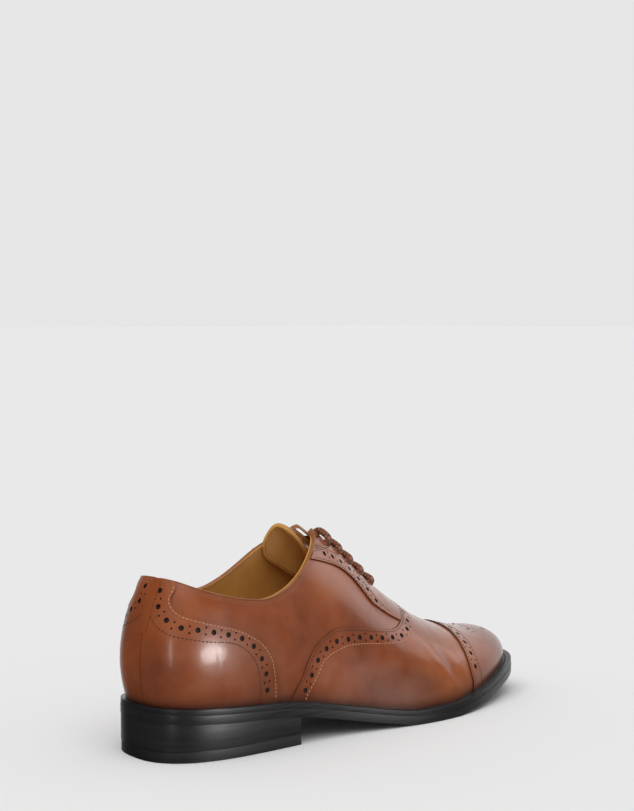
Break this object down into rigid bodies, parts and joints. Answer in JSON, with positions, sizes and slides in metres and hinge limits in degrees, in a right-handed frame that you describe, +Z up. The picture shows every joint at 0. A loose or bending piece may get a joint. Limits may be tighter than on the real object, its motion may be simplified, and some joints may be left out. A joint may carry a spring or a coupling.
{
  "type": "leather oxford shoe",
  "caption": "Right-foot lace-up oxford shoe with a toe cap, brogue overlays, an open collar, a tongue, a welted leather sole and a stacked heel.",
  "frame": {"origin": "on the ground under the middle of the shoe's bounding box", "axes": "+X from the heel to the toe, +Y towards the wearer's left (the inner side of this right shoe), +Z up"},
  "size_m": [0.305, 0.1032, 0.1208],
  "materials": {
    "upper_leather": "glossy cognac brown calf with a fine grain, darkened along the edges",
    "lining_leather": "matt tan lining leather",
    "fibre_board": "matt pressed leather board",
    "cork": "matt granulated cork",
    "sole_leather": "satin black waxed edge",
    "top_piece_rubber": "matt black",
    "steel": "plain",
    "eyelet_brass": "plain",
    "lace_cotton": "waxed round braid",
    "aglet_plastic": "gloss"
  },
  "bodies": {
    "shoe": {"toe_cap": "upper_leather", "vamp": "upper_leather", "facing_outer": "upper_leather", "facing_inner": "upper_leather", "quarter_outer": "upper_leather", "quarter_inner": "upper_leather", "heel_foxing_outer": "upper_leather", "heel_foxing_inner": "upper_leather", "backstay": "upper_leather", "quarter_lining_outer": "lining_leather", "quarter_lining_inner": "lining_leather", "heel_grip": "lining_leather", "vamp_lining": "lining_leather", "sock": "lining_leather", "heel_stiffener": "fibre_board", "toe_puff": "fibre_board", "vamp_backer": "fibre_board", "heel_seat": "fibre_board", "insole": "fibre_board", "cork_filler": "cork", "welt": "sole_leather", "outsole": "sole_leather", "heel_stack": "sole_leather", "top_piece": "top_piece_rubber", "shank": "steel", "heel_nail_1": "steel", "heel_nail_2": "steel", "heel_nail_3": "steel", "heel_nail_4": "steel", "heel_nail_5": "steel", "eyelet_outer_1": "eyelet_brass", "eyelet_outer_2": "eyelet_brass", "eyelet_outer_3": "eyelet_brass", "eyelet_outer_4": "eyelet_brass", "eyelet_outer_5": "eyelet_brass", "eyelet_inner_1": "eyelet_brass", "eyelet_inner_2": "eyelet_brass", "eyelet_inner_3": "eyelet_brass", "eyelet_inner_4": "eyelet_brass", "eyelet_inner_5": "eyelet_brass", "lace": "lace_cotton", "aglet_outer": "aglet_plastic", "aglet_inner": "aglet_plastic"},
    "tongue": {"tongue": "upper_leather", "tongue_lining": "lining_leather"}
  },
  "joints": [
    {"name": "tongue_hinge", "type": "hinge", "parent": "shoe", "child": "tongue", "pos_m": [0.033, 0, 0.0575], "axis": [0, 1, 0], "range_deg": [-20, 0]}
  ]
}
